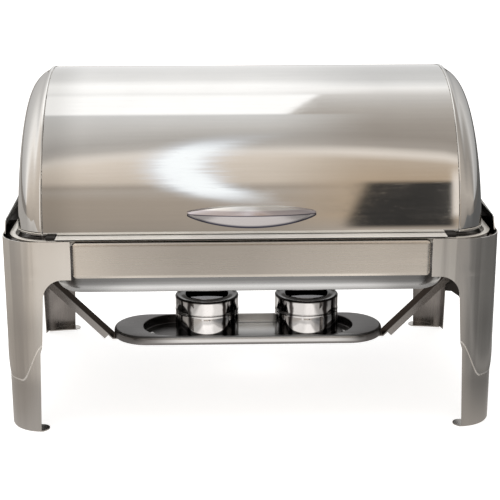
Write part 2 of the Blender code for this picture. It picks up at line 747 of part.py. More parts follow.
def make_fuel_holder(side_name, burner_axis, damper_axis):
    """A cup on the shelf, its ring-shaped cover, the fuel can inside and the swinging damper."""
    centre = (HOLDER_X[side_name], 0)
    sheet = 0.0009
    radius = HOLDER_RADIUS
    floor = RECESS_FLOOR + GAP
    bend = 0.0020
    cup = [
        (0, floor + sheet), (radius - bend, floor + sheet), (radius - sheet, floor + bend),
        (radius - sheet, HOLDER_JOINT - GAP), (radius, HOLDER_JOINT - GAP), (radius, floor + bend),
        (radius - bend, floor), (0, floor),
    ]
    turned_part(f"fuel_holder_{side_name}", cup, centre, "chrome", burner_axis)
    skirt = radius - sheet - 0.0005
    joint = HOLDER_JOINT + GAP
    mouth = 0.0300
    cover = [
        (mouth, HOLDER_TOP), (radius - 0.0015, HOLDER_TOP), (radius, HOLDER_TOP - 0.0015), (radius, joint),
        (skirt, joint), (skirt, joint - 0.0060), (skirt - sheet, joint - 0.0060),
        (skirt - sheet, HOLDER_TOP - sheet), (mouth, HOLDER_TOP - sheet),
    ]
    turned_part(f"fuel_cover_{side_name}", cover, centre, "chrome", burner_axis, closed=True)
    can = [
        (0, 0.1110), (0.0340, 0.1110), (0.0350, 0.1140), (0.0400, 0.1140), (0.0420, 0.1115),
        (0.0420, floor + sheet + GAP + 0.0015), (0.0405, floor + sheet + GAP), (0, floor + sheet + GAP),
    ]
    turned_part(f"fuel_can_{side_name}", can, centre, "tin", burner_axis)
    make_damper(side_name, centre, burner_axis, damper_axis)


def make_damper(side_name, centre, burner_axis, damper_axis):
    """A disc over the cover's mouth that swings aside on a rivet behind it."""
    name = f"damper_{side_name}"
    sheet = 0.0008
    level = HOLDER_TOP + GAP + sheet / 2
    ear = 0.0060
    disc = arc(centre[0], 0, 0.0315, -255, 75, 22)
    tab = arc(centre[0], DAMPER_PIVOT_Y, ear, 20, 160, 5)
    plate = plate_mesh(name, disc + tab, sheet, (0, 0, level))
    damper = make_part(name, plate, "chrome", damper_axis)
    pivot = (centre[0], DAMPER_PIVOT_Y, HOLDER_TOP)
    hole = make_tool(name + "_hole", cylinder_mesh(name + "_hole", 0.0019, 0.010, pivot, "Z", 10))
    boolean(damper, hole)
    boolean(bpy.data.objects[f"fuel_cover_{side_name}"], hole)
    rivet_name = f"damper_rivet_{side_name}"
    shaft = cylinder_mesh(rivet_name, 0.0016, 0.0030, (pivot[0], pivot[1], HOLDER_TOP + 0.0001), "Z", 10)
    rivet = make_part(rivet_name, shaft, "chrome", burner_axis)
    head_z = level + sheet / 2 + GAP + 0.0006
    head = cylinder_mesh(rivet_name + "_head", 0.0034, 0.0012, (pivot[0], pivot[1], head_z), "Z", 12, 0.0024)
    boolean(rivet, make_tool(rivet_name + "_head", head), "UNION")


def make_pin_cutters():
    """Bores for the hinge pins, through the end panels, cover walls and everything between."""
    cutters = {}
    for side_name, side in SIDES.items():
        middle = (side * 0.310, 0, PIVOT_Z)
        bore = cylinder_mesh("pin_bore", BORE_RADIUS, 0.040, middle, "X", 16)
        cutters[side_name] = make_tool(f"pin_bore_{side_name}", bore)
    return cutters


clear_scene()
PARTS = new_collection("roll_top_chafer")
TOOLS = new_collection("cutters")
CHAFER = new_empty("chafer", (0, CENTRING_Y, 0))
LID_AXIS = new_empty("lid_axis", (0, 0, PIVOT_Z), CHAFER)
WATER_AXIS = new_empty("water_pan_axis", (0, 0, WATER_RIM_TOP), CHAFER)
FOOD_AXIS = new_empty("food_pan_axis", (0, 0, 0), WATER_AXIS)

make_legs()
bores = make_pin_cutters()
make_end_panels(bores)
make_aprons()
make_ledges()
make_collar()
make_bumpers()
make_pan_support()
make_hinge_pins()
make_hinge_rings(bores)
make_cover_panel()
make_cover_ends(bores)
make_handle()
make_handle_screws()
make_hinge_plates(bores)
make_pans()
make_shelf_assembly()
for holder, holder_x in HOLDER_X.items():
    burner = new_empty(f"burner_{holder}_axis", (holder_x, 0, RECESS_FLOOR), CHAFER)
    swing = new_empty(f"damper_{holder}_axis", (0, DAMPER_PIVOT_Y, HOLDER_TOP - RECESS_FLOOR), burner)
    make_fuel_holder(holder, burner, swing)
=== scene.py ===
"""Roll top chafer, looks: fine steel surfaces, procedural materials, camera and studio light.

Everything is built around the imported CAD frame. Metres, +Z up, the front faces -Y.
"""
import math

import bmesh
import bpy
from mathutils import Matrix, Vector
from mathutils.geometry import tessellate_polygon


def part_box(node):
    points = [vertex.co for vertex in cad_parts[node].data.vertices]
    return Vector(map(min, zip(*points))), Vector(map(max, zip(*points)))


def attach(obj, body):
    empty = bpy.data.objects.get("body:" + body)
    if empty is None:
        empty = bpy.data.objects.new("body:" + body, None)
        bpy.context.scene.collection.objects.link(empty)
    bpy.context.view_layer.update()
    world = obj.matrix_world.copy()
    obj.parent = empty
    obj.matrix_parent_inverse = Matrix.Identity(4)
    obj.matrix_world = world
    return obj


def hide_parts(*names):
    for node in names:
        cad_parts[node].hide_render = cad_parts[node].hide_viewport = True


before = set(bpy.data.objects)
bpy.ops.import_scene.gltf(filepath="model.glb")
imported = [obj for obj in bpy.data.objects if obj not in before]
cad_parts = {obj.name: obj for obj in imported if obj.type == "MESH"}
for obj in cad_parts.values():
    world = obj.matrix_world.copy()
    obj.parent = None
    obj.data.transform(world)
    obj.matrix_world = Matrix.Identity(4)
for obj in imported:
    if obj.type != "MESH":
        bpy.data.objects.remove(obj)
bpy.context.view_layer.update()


# Places read from the frame -------------------------------------------------------------------


def middle_of(node):
    """The middle of a CAD node's box at rest."""
    low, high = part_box(node)
    return (low + high) / 2


SIDES = {"left": -1, "right": 1}
ENDS = {"front": -1, "rear": 1}
PANEL_LOW, PANEL_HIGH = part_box("cover_panel")
CAP_LOW, CAP_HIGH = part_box("cover_end_right")
APRON_LOW, APRON_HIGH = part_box("front_apron")
TRAY_LOW, TRAY_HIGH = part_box("fuel_shelf")
LEG_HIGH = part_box("leg_rear_right")[1]
CENTRE_Y = middle_of("cover_panel").y
HALF_LENGTH = LEG_HIGH.x
HALF_DEPTH = LEG_HIGH.y - CENTRE_Y
FRAME_TOP = LEG_HIGH.z
HEM = CAP_LOW.z
PAN_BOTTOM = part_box("water_pan")[0].z
HOLDER_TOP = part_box("fuel_cover_left")[1].z
HOLDER_X = [middle_of(f"fuel_cover_{side_name}").x for side_name in SIDES]
TRAY_MIDDLE = sum(HOLDER_X) / 2

# The sheet of the frame and the cover, and that of the pans and the holders.
SHEET = 0.0012
THIN_SHEET = 0.0009

# The handle's leaf: half its height at the tips, how much that grows to the middle and by which
# power, and how far its ridge rises.
LEAF_TIP = 0.0024
LEAF_TALL = 0.0118
LEAF_POWER = 1.8
RIDGE_RISE = 0.0035


# Mesh helpers ---------------------------------------------------------------------------------


def smooth(low, high, value):
    """0 below low, 1 above high and an even curve between them."""
    t = min(max((value - low) / (high - low), 0.0), 1.0)
    return t * t * (3 - 2 * t)


def spread(start, stop, count):
    """Evenly spaced values from start to stop."""
    return [start + (stop - start) * i / (count - 1) for i in range(count)]


def bend(start, stop, count):
    """Along a bend of radius 1: how far it has gone from its start, and has left to its end."""
    turns = [math.radians(angle) for angle in spread(start, stop, count)]
    return [(1 - math.cos(turn), 1 - math.sin(turn)) for turn in turns]


def arc(cx, cy, radius, start, stop, steps):
    """Points along an arc, with its angles in degrees."""
    turns = [math.radians(angle) for angle in spread(start, stop, steps + 1)]
    return [(cx + radius * math.cos(turn), cy + radius * math.sin(turn)) for turn in turns]


def rounded_rectangle(half_x, half_y, radius, steps, middle=0.0):
    """A counter-clockwise outline with rounded corners and a few points along its straights."""
    x = half_x - radius
    y = half_y - radius
    corners = []
    for cx, cy, start in ((x, y, 0), (-x, y, 90), (-x, -y, 180), (x, -y, 270)):
        corners.append(arc(cx, cy + middle, radius, start, start + 90, steps))
    points = []
    for k, corner in enumerate(corners):
        points += corner
        first = Vector(corner[-1])
        last = Vector(corners[(k + 1) % 4][0])
        points += [tuple(first.lerp(last, t)) for t in (0.25, 0.5, 0.75)]
    return points


def level_ring(half_x, half_y, radius, z, steps):
    """A rounded rectangle at one height, about the middle of the chafer."""
    return [(x, y, z) for x, y in rounded_rectangle(half_x, half_y, radius, steps, CENTRE_Y)]


def grid(bm, rows, closed=False, flip=False):
    """Skin equal rows of points with quads and return the rows of vertices."""
    made = [[bm.verts.new(point) for point in row] for row in rows]
    count = len(rows[0])
    spans = count if closed else count - 1
    for low, high in zip(made, made[1:]):
        for i in range(spans):
            j = (i + 1) % count
            quad = (low[i], low[j], high[j], high[i])
            bm.faces.new(tuple(reversed(quad)) if flip else quad)
    return made


def lathe(bm, profile, centre, segments=96):
    """Turn a profile of (radius, z) about a vertical axis; a radius of 0 closes it."""
    rows = []
    for radius, z in profile:
        row = []
        for i in range(segments):
            angle = 2 * math.pi * i / segments
            row.append((centre.x + radius * math.cos(angle), centre.y + radius * math.sin(angle), z))
        rows.append(row)
    return grid(bm, rows, closed=True)


def close_sheet(bm, edge, facing):
    """Fill the last row of a pressed sheet, and turn its faces so that the fill faces one way."""
    fill = bm.faces.new(edge)
    bmesh.ops.recalc_face_normals(bm, faces=bm.faces)
    fill.normal_update()
    if fill.normal.dot(Vector(facing)) < 0:
        bmesh.ops.reverse_faces(bm, faces=bm.faces)


def add_piece(name, bm, body, material, node=None, sharp=30):
    """Turn a bmesh into a smooth-shaded piece that rides on a CAD body and may stand for a node."""
    mesh = bpy.data.meshes.new(name)
    bm.to_mesh(mesh)
    bm.free()
    mesh.materials.append(material)
    mesh.shade_smooth()
    mesh.set_sharp_from_angle(angle=math.radians(sharp))
    obj = bpy.data.objects.new(name, mesh)
    bpy.context.scene.collection.objects.link(obj)
    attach(obj, body)
    if node:
        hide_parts(node)
    return obj


def thicken(obj, thickness):
    """Give a sheet its thickness, behind the side that its faces turn to."""
    modifier = obj.modifiers.new("thickness", "SOLIDIFY")
    modifier.thickness = thickness
    modifier.offset = -1
    modifier.use_even_offset = True


def soften(obj, width, segments, angle):
    """Round the sharp edges, so that they catch a line of light."""
    modifier = obj.modifiers.new("edges", "BEVEL")
    modifier.width = width
    modifier.segments = segments
    modifier.limit_method = "ANGLE"
    modifier.angle_limit = math.radians(angle)
    modifier.use_clamp_overlap = True
    shading = obj.modifiers.new("shading", "WEIGHTED_NORMAL")
    shading.keep_sharp = True


def finish_like(node, material, width=0.0003, segments=2):
    """Dress a CAD node that is kept, and round its edges a little."""
    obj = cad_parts[node]
    obj.data.materials.clear()
    obj.data.materials.append(material)
    soften(obj, width, segments, 35)


# Shader helpers -------------------------------------------------------------------------------


def grey(value, warmth=0.0):
    """A shader colour from a displayed brightness of 0 to 255, warmer by a share if wanted."""
    shade = value / 255
    linear = ((shade + 0.055) / 1.055) ** 2.4 if shade > 0.04045 else shade / 12.92
    return (linear * (1 + warmth), linear, linear * (1 - warmth), 1.0)


class Graph:
    """A short way to write shader nodes; a value is a number or a socket."""

    def __init__(self, tree, fresh=True):
        self.tree = tree
        if fresh:
            tree.nodes.clear()

    def add(self, kind, values=(), **settings):
        """A node, from its kind, what goes into its sockets and its settings."""
        node = self.tree.nodes.new("ShaderNode" + kind)
        for name, value in settings.items():
            setattr(node, name, value)
        for name, value in dict(values).items():
            self.feed(node.inputs[name], value)
        return node

    def feed(self, socket, value):
        """Link a socket to another one, or give it a plain value."""
        if isinstance(value, bpy.types.NodeSocket):
            self.tree.links.new(value, socket)
        else:
            socket.default_value = value

    def place(self, space="Object"):
        return self.add("TexCoord").outputs[space]

    def axes(self, space="Object"):
        return self.add("SeparateXYZ", {"Vector": self.place(space)}).outputs

    def math(self, operation, a, b=0.0):
        node = self.add("Math", operation=operation)
        self.feed(node.inputs[0], a)
        self.feed(node.inputs[1], b)
        return node.outputs[0]

    def times(self, a, b):
        return self.math("MULTIPLY", a, b)

    def plus(self, a, b):
        return self.math("ADD", a, b)

    def minus(self, a, b):
        return self.math("SUBTRACT", a, b)

    def absolute(self, a):
        return self.math("ABSOLUTE", a)

    def degrees(self, a, b):
        """The angle whose tangent is a over b, all the way round."""
        return self.times(self.math("ARCTAN2", a, b), 180 / math.pi)

    def remap(self, value, low, high, to_low, to_high, curve="LINEAR"):
        """A value between low and high, moved to between to_low and to_high and kept there."""
        limits = {"From Min": low, "From Max": high, "To Min": to_low, "To Max": to_high}
        node = self.add("MapRange", {"Value": value, **limits}, interpolation_type=curve)
        return node.outputs["Result"]

    def rise(self, value, low, high):
        """0 up to low and 1 from high, straight between them; low may be the larger one."""
        return self.remap(value, low, high, 0.0, 1.0)

    def fade(self, value, low, high):
        """As rise, in an even curve."""
        return self.remap(value, low, high, 0.0, 1.0, "SMOOTHSTEP")

    def patch(self, *edges):
        """The product of fades, each given as a value and the places where it is 0 and 1."""
        share = self.fade(*edges[0])
        for edge in edges[1:]:
            share = self.times(share, self.fade(*edge))
        return share

    def window(self, value, low, high, soft):
        """1 between low and high, with soft ends."""
        return self.patch((value, low - soft, low), (value, high + soft, high))

    def ramp(self, value, stops):
        """A colour that changes with a value, from pairs of that value and a colour."""
        first, last = stops[0][0], stops[-1][0]
        node = self.add("ValToRGB", {"Fac": self.rise(value, first, last)})
        elements = node.color_ramp.elements
        while len(elements) < len(stops):
            elements.new(0.5)
        for element, (at, colour) in zip(elements, stops):
            element.position = (at - first) / (last - first)
            element.color = colour
        return node.outputs["Color"]

    def shares(self, value, stops):
        """As ramp, from pairs of the value and a share."""
        return self.ramp(value, [(at, (share, share, share, 1.0)) for at, share in stops])

    def tones(self, value, stops):
        """As ramp, from the value, a displayed brightness and its warmth."""
        return self.ramp(value, [(at, grey(brightness, warmth)) for at, brightness, warmth in stops])

    def noise(self, place, stretch, scale, detail=3.0, roughness=0.5):
        """Noise that is stretched along an axis where stretch is small."""
        mapped = self.add("Mapping", {"Vector": place, "Scale": stretch}).outputs[0]
        kind = {"Scale": scale, "Detail": detail, "Roughness": roughness}
        return self.add("TexNoise", {"Vector": mapped, **kind}).outputs["Fac"]

    def speckle(self, colour, share):
        """A colour made lighter and darker by a share."""
        node = self.add("VectorMath", operation="SCALE")
        node.inputs[0].default_value = colour
        self.feed(node.inputs["Scale"], share)
        return node.outputs[0]

    def bump(self, height):
        return self.add("Bump", {"Height": height, "Strength": 1.0, "Distance": 1.0}).outputs["Normal"]

    def mix(self, factor, a, b):
        node = self.add("Mix", data_type="RGBA", blend_type="MIX")
        self.feed(node.inputs[0], factor)
        self.feed(node.inputs[6], a)
        self.feed(node.inputs[7], b)
        return node.outputs[2]

    def choose(self, factor, a, b):
        """One shader where factor is 0 and the other where it is 1."""
        node = self.add("MixShader", {"Fac": factor})
        self.feed(node.inputs[1], a.outputs[0])
        self.feed(node.inputs[2], b.outputs[0])
        return node.outputs[0]


def new_material(name):
    """An empty material and its graph."""
    material = bpy.data.materials.new(name)
    material.use_nodes = True
    return material, Graph(material.node_tree)


EVEN = (1.0, 1.0, 1.0)
ALONG_X = (0.03, 1.0, 1.0)
ALONG_Z = (1.0, 1.0, 0.03)
ROUND_Z = (1.0, 1.0, 6.0)
GRAIN_HEIGHT = 0.00012


def steel(name, colour, roughness, grain, depth, mottle=0.04, wave=0.0, smudge=0.0, scratch=0.0,
          metal=1.0, glance=1.0):
    """Metal with a stretched grain, cloudy colour, faint waves, wiped smudges and fine scratches.

    depth is how strong the grain is, and glance is how much of the metal's shine is left when it is
    seen along its surface.
    """
    material, g = new_material(name)
    place = g.place()
    fine = g.noise(place, grain, scale=260.0, detail=4.0, roughness=0.6)
    cloud = g.noise(place, EVEN, scale=14.0)
    cloudy = g.remap(cloud, 0.3, 0.7, 1.0 - mottle, 1.0 + mottle)
    streaky = g.remap(fine, 0.25, 0.75, 1.0 - depth, 1.0 + depth)
    rough = g.remap(fine, 0.3, 0.7, roughness * 0.85, roughness * 1.15)
    if smudge:
        wiped = g.noise(place, (1.0, 2.4, 2.4), scale=9.0, detail=5.0, roughness=0.62)
        rough = g.plus(rough, g.remap(wiped, 0.5, 0.72, 0.0, smudge))
    if scratch:
        hair = g.noise(place, (3.0, 40.0, 40.0), scale=30.0, detail=2.0)
        rough = g.plus(rough, g.remap(hair, 0.66, 0.72, 0.0, scratch))
    height = g.times(fine, depth * GRAIN_HEIGHT)
    if wave:
        swell = g.noise(place, (1.0, 0.5, 0.5), scale=7.0, detail=1.0)
        height = g.plus(height, g.times(swell, wave))
    shader = g.add("BsdfPrincipled", {
        "Base Color": g.speckle(colour, g.times(cloudy, streaky)),
        "Metallic": metal,
        "Roughness": rough,
        "Specular Tint": (glance, glance, glance, 1.0),
        "Normal": g.bump(height),
    })
    g.add("OutputMaterial", {"Surface": shader.outputs[0]})
    return material


def dull(name, colour, roughness, mottle):
    """Rubber or plastic with a fine pebbled surface."""
    material, g = new_material(name)
    fine = g.noise(g.place(), EVEN, scale=900.0)
    shader = g.add("BsdfPrincipled", {
        "Base Color": g.speckle(colour, g.remap(fine, 0.3, 0.7, 1.0 - mottle, 1.0 + mottle)),
        "Roughness": roughness,
        "Normal": g.bump(g.times(fine, 0.00002)),
    })
    g.add("OutputMaterial", {"Surface": shader.outputs[0]})
    return material


def tint(material, colour, mask):
    """Mix a colour into a metal where mask(graph, x, y, z) says."""
    g = Graph(material.node_tree, fresh=False)
    shader = next(node for node in g.tree.nodes if node.type == "BSDF_PRINCIPLED")
    base = shader.inputs["Base Color"]
    plain = base.links[0].from_socket
    g.feed(base, g.mix(mask(g, *g.axes()), plain, (*colour, 1.0)))


# Materials ------------------------------------------------------------------------------------

COVER = steel(
    "cover_steel", (0.80, 0.79, 0.77), 0.045, ALONG_X, 0.02,
    mottle=0.02, wave=0.0001, smudge=0.05, scratch=0.06,
)
LEG = steel(
    "leg_steel", (0.72, 0.69, 0.65), 0.16, ALONG_Z, 0.05,
    mottle=0.03, wave=0.0002, smudge=0.04,
)
# Painted shade: a dark copy of the legs' steel for the insides of the legs.
LEG_INSIDE_SHADE = steel(
    "leg_inside_shaded_steel", (0.24, 0.222, 0.21), 0.26, ALONG_Z, 0.10,
    mottle=0.30, wave=0.0008, smudge=0.04,
)
# A painted highlight: a bright copy of the steel for the crease across each leg.
CREASE_HIGHLIGHT = steel("crease_highlight_steel", (0.98, 0.96, 0.93), 0.30, ALONG_Z, 0.03)
APRON = steel("apron_steel", (0.94, 0.88, 0.80), 0.26, ALONG_X, 0.08, mottle=0.03)
# Painted shade: the end panels' steel is dark, for the shade they stand in and the dark room that they
# reflect.
SHADED_MIRROR = steel(
    "end_panel_shaded_steel", (0.28, 0.262, 0.25), 0.10, ALONG_X, 0.03,
    mottle=0.03, wave=0.0001, smudge=0.05, glance=0.25,
)
LEDGE = steel("ledge_steel", (0.97, 0.96, 0.93), 0.45, ALONG_X, 0.03, metal=0.35)
COLLAR = steel("collar_steel", (0.92, 0.89, 0.83), 0.34, ALONG_X, 0.03, metal=0.55)
HANDLE = steel("handle_steel", (1.0, 1.0, 1.0), 0.20, ALONG_X, 0.03)
TRAY = steel(
    "tray_steel", (0.18, 0.173, 0.17), 0.30, ALONG_X, 0.06,
    mottle=0.10, smudge=0.06, glance=0.72,
)
STRUT = steel("strut_steel", (0.13, 0.113, 0.102), 0.22, ALONG_X, 0.05, glance=0.30)
DARK = steel("bracket_steel", (0.42, 0.40, 0.38), 0.32, ALONG_X, 0.05, glance=0.5)
HOLDER = steel("holder_steel", (0.88, 0.87, 0.87), 0.07, ROUND_Z, 0.04, mottle=0.10, smudge=0.04)
# Painted shade: the dampers' steel is dark, for the shade of the pan above them.
DAMPER_SHADE = steel("damper_shaded_steel", (0.05, 0.044, 0.04), 0.14, EVEN, 0.04, mottle=0.10, glance=0.15)
PAN = steel("pan_steel", (0.70, 0.71, 0.72), 0.26, ALONG_X, 0.05, mottle=0.03, smudge=0.05)
# Painted light: a brighter, partly diffuse copy of the pans' steel, so that the food pan looks lit
# under the cover.
FOOD_PAN_LIT = steel(
    "food_pan_lit_steel", (0.93, 0.93, 0.92), 0.24, ALONG_X, 0.05,
    mottle=0.03, smudge=0.05, metal=0.70,
)
CHROME = steel("chrome_steel", (0.80, 0.79, 0.77), 0.12, EVEN, 0.02)
TIN = steel("fuel_tin", (0.60, 0.59, 0.56), 0.30, EVEN, 0.06, mottle=0.08)
RUBBER = dull("bumper_rubber", (0.025, 0.024, 0.023), 0.65, mottle=0.08)
NYLON = dull("washer_nylon", (0.78, 0.76, 0.71), 0.45, mottle=0.03)


def cover_left_shade(g, x, y, z):
    """Painted shade: the cover's panel is darker towards its left end."""
    seam = -CAP_LOW.x
    return g.times(g.fade(x, -0.215, -0.262), g.rise(x, seam, seam + 0.001))


def handle_full(g, x):
    """How full the handle's leaf is, from 0 at its tips to 1 in its middle."""
    t = g.times(x, 1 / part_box("handle")[1].x)
    return g.math("SQRT", g.math("MAXIMUM", g.minus(1.0, g.times(t, t)), 0.0))


def above_ridge(g, x, z):
    """How far a place on the handle is above the handle's ridge."""
    ridge = g.plus(g.times(handle_full(g, x), RIDGE_RISE), middle_of("handle").z)
    return g.minus(z, ridge)


def handle_lower_shade(g, x, y, z):
    """Painted shade on the lower face of the handle."""
    return g.rise(above_ridge(g, x, z), 0.0, -0.0010)


def handle_upper_reflection(g, x, y, z):
    """A painted reflection: the soft grey between the bright upper edge and the ridge."""
    above = above_ridge(g, x, z)
    return g.times(g.rise(above, 0.0064, 0.0050), g.rise(above, -0.0004, 0.0))


def handle_ridge_shade(g, x, y, z):
    """Painted shade: the dark line that a crisp ridge shows."""
    return g.times(g.window(above_ridge(g, x, z), -0.0007, 0.0003, 0.0004), 0.85)


def handle_under(g, x, y, z):
    """The leaf's lower edge, which turns to the shade."""
    swell = g.times(g.math("POWER", handle_full(g, x), LEAF_POWER), LEAF_TALL)
    tall = g.plus(swell, LEAF_TIP)
    above_edge = g.plus(g.minus(z, middle_of("handle").z), tall)
    return g.rise(above_edge, 0.0046, 0.0018)


def leg_upper_light(g, x, y, z):
    """Painted light: the legs are lighter towards the top."""
    return g.times(g.fade(z, 0.140, 0.190), 0.62)


def leg_lower_shade(g, x, y, z):
    """Painted shade: the legs are darker below the crease."""
    return g.times(g.fade(z, 0.090, 0.060), 0.55)


def leg_bands(g, x, y, z):
    """Soft uprights in the reflection on the legs."""
    return g.times(g.rise(g.noise(g.place(), ALONG_Z, scale=55.0, detail=2.0), 0.50, 0.62), 0.5)


def leg_inside_top(g, x, y, z):
    """No light reaches the inside of a leg close under its top."""
    return g.rise(z, 0.225, 0.240)


def apron_middle_shade(g, x, y, z):
    """Painted shade: the apron is darker in its middle than towards its ends."""
    return g.shares(x, (
        (-0.2310, 0.25), (-0.2225, 0.30), (-0.170, 0.73), (-0.090, 1.0), (0.0, 0.96), (0.105, 0.58),
        (0.197, 0.22), (0.2310, 0.0),
    ))


def slot_shade(g, x, y, z):
    """The returned ends of the apron, deep in the slots beside the legs."""
    wide = g.rise(g.absolute(x), APRON_HIGH.x - 0.0010, APRON_HIGH.x - 0.0003)
    return g.times(wide, g.rise(y, APRON_LOW.y + 0.0004, APRON_LOW.y + 0.0012))


def ledge_shade(g, x, y, z):
    """Painted shade: the dark line in the gap under the ledge's front edge."""
    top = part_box("front_ledge")[1].z
    return g.rise(z, top - 0.0004, top - 0.0007)


def panel_top(g, x, y, z):
    """An end panel stands in the shade of the cover with its raised top."""
    return g.rise(z, 0.250, 0.256)


def panel_glint(g, x, y, z):
    """A painted highlight: the bright line across that raised top."""
    return g.window(z, 0.2765, 0.2800, 0.0006)


def seen_square(g, x, y, z):
    """Where a sheet is seen square on, and not along its surface."""
    return g.rise(g.add("LayerWeight").outputs["Facing"], 0.76, 0.50)


def pan_shade(g, x, y, z):
    """The pan's wall is shaded under the apron and again towards its bottom."""
    return g.shares(g.minus(z, PAN_BOTTOM), (
        (0.0, 0.66), (0.0030, 0.56), (0.0065, 0.36), (0.0100, 0.06), (0.0118, 0.06), (0.0140, 0.36),
        (0.0160, 0.62), (0.0200, 0.74), (0.0300, 0.74), (0.0400, 0.0),
    ))


def tray_front_highlight(g, x, y, z):
    """A painted highlight along the rolled front edge of the tray."""
    across = g.window(x, -0.085, 0.115, 0.070)
    edge = g.rise(y, TRAY_LOW.y + 0.0075, TRAY_LOW.y + 0.0055)
    upper = g.rise(z, TRAY_HIGH.z - 0.0098, TRAY_HIGH.z - 0.0080)
    return g.times(g.times(across, edge), upper)


def tray_middle_highlight(g, x, y, z):
    """A painted highlight: the part of the recess between the two holders is drawn bright."""
    across = g.window(x, TRAY_MIDDLE - 0.026, TRAY_MIDDLE + 0.026, 0.004)
    return g.times(across, g.fade(y, CENTRE_Y - 0.020, CENTRE_Y + 0.030))


def strut_flange(g, x, y, z):
    """The strut's front flange, which faces the light."""
    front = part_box("shelf_strut_left")[0].y
    return g.rise(y, front + 0.0018, front + 0.0012)


def from_axis(g, x):
    """How far a place is to the right of the axis of its holder."""
    left, right = HOLDER_X
    return g.minus(x, g.remap(x, TRAY_MIDDLE - 0.0001, TRAY_MIDDLE + 0.0001, left, right))


def cup_reflection_streaks(g, x, y, z):
    """Painted reflection: the dark uprights that a polished cup shows, by the angle round it and a
    little wavy.
    """
    toward = g.minus(middle_of("fuel_cover_left").y, y)
    wobble = g.remap(g.noise(g.place(), EVEN, scale=60.0, detail=2.0), 0.0, 1.0, -5.0, 5.0)
    return g.shares(g.plus(g.degrees(from_axis(g, x), toward), wobble), (
        (-95, 0.7), (-76, 1.0), (-68, 0.35), (-60, 0.95), (-48, 0.45), (-38, 0.30), (-34, 1.0),
        (-30, 0.95), (-27, 0.25), (-10, 0.20), (-4, 0.0), (9, 0.0), (14, 0.25), (27, 0.30),
        (30, 1.0), (35, 1.0), (39, 0.30), (46, 0.40), (50, 1.0), (61, 1.0), (65, 0.15), (69, 1.0),
        (82, 1.0), (95, 0.6),
    ))


def holder_top_shade(g, x, y, z):
    """Painted shade: the top of a holder, round its mouth, is darker in the shade of the pan above it.
    """
    return g.fade(z, HOLDER_TOP - 0.0035, HOLDER_TOP - 0.0010)


def damper_lit_edge(g, x, y, z):
    """Painted light: the part of a damper disc at its front edge is drawn bright."""
    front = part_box("damper_left")[0].y
    across = from_axis(g, x)
    curved = g.plus(y, g.times(g.times(across, across), 6.0))
    return g.rise(curved, front + 0.0150, front + 0.0135)


tint(COVER, (0.64, 0.63, 0.61), cover_left_shade)
tint(HANDLE, (0.50, 0.48, 0.485), handle_lower_shade)
tint(HANDLE, (0.64, 0.60, 0.63), handle_upper_reflection)
tint(HANDLE, (0.05, 0.04, 0.07), handle_ridge_shade)
tint(HANDLE, (0.04, 0.04, 0.06), handle_under)
tint(LEG, (1.0, 0.96, 0.90), leg_upper_light)
tint(LEG, (0.42, 0.40, 0.38), leg_lower_shade)
tint(LEG, (0.50, 0.475, 0.45), leg_bands)
tint(LEG_INSIDE_SHADE, (0.03, 0.03, 0.03), leg_inside_top)
tint(APRON, (0.52, 0.485, 0.44), apron_middle_shade)
tint(APRON, (0.02, 0.02, 0.02), slot_shade)
tint(LEDGE, (0.03, 0.03, 0.03), ledge_shade)
tint(SHADED_MIRROR, (0.02, 0.019, 0.018), panel_top)
tint(SHADED_MIRROR, (1.0, 1.0, 0.98), panel_glint)
# Seen square on, an end panel keeps a bright steel colour in place of its painted shade.
tint(SHADED_MIRROR, (0.80, 0.79, 0.77), seen_square)
tint(PAN, (0.10, 0.10, 0.10), pan_shade)
tint(TRAY, (0.68, 0.68, 0.68), tray_front_highlight)
tint(TRAY, (0.97, 0.97, 0.96), tray_middle_highlight)
tint(STRUT, (0.42, 0.40, 0.385), strut_flange)
tint(HOLDER, (0.030, 0.026, 0.024), cup_reflection_streaks)
tint(HOLDER, (0.020, 0.017, 0.015), holder_top_shade)
tint(DAMPER_SHADE, (0.95, 0.96, 1.0), damper_lit_edge)


# Cover ----------------------------------------------------------------------------------------

# A cap: the radius of its rounded edge, the angle on it where it is settled, and its wall's lean.
CAP_EDGE = 0.042
CAP_SETTLED = math.radians(28)
CAP_DRAFT = 0.03
SEAM_STEP = 0.0008
PIN_HOLE = 0.0040
HOLE_SIDES = 24
HANDLE_TIPS = 0.2043


def section(x, inset, steps=128):
    """The cover's half-round section, from the front hem over the top to the rear hem."""
    half = CAP_HIGH.y - CENTRE_Y - inset
    rise = CAP_HIGH.z - HEM - inset
    points = []
    for i in range(steps + 1):
        angle = math.pi * (1 - i / steps)
        points.append((x, CENTRE_Y + half * math.cos(angle), HEM + rise * math.sin(angle)))
    return points


def make_cover_panel():
    """The rolled middle sheet, one step lower than the caps' lips."""
    bm = bmesh.new()
    grid(bm, [section(x, SEAM_STEP) for x in spread(PANEL_LOW.x, PANEL_HIGH.x, 33)], flip=True)
    panel = add_piece("cover_panel_skin", bm, "cover", COVER, "cover_panel")
    thicken(panel, SHEET)
    soften(panel, 0.0004, 2, 60)


def cap_settled(x):
    """How far a cap has changed from the shape of the seam to its own."""
    return smooth(CAP_LOW.x, CAP_HIGH.x - CAP_EDGE * (1 - math.sin(CAP_SETTLED)), x)


def cap_stations():
    """Along a cap, from its lip over the seam to its wall: the place, and how far it is drawn in."""
    seam, end = CAP_LOW.x, CAP_HIGH.x
    stations = [(seam, 0.0006), (seam + 0.0002, 0.0002), (seam + 0.0007, 0.0), (seam + 0.0022, 0.0)]
    for gone, left in bend(13, 90, 23):
        x = end - CAP_EDGE * left
        stations.append((x, CAP_EDGE * gone * cap_settled(x)))
    stations.append((end, CAP_EDGE + 0.0030))
    return stations


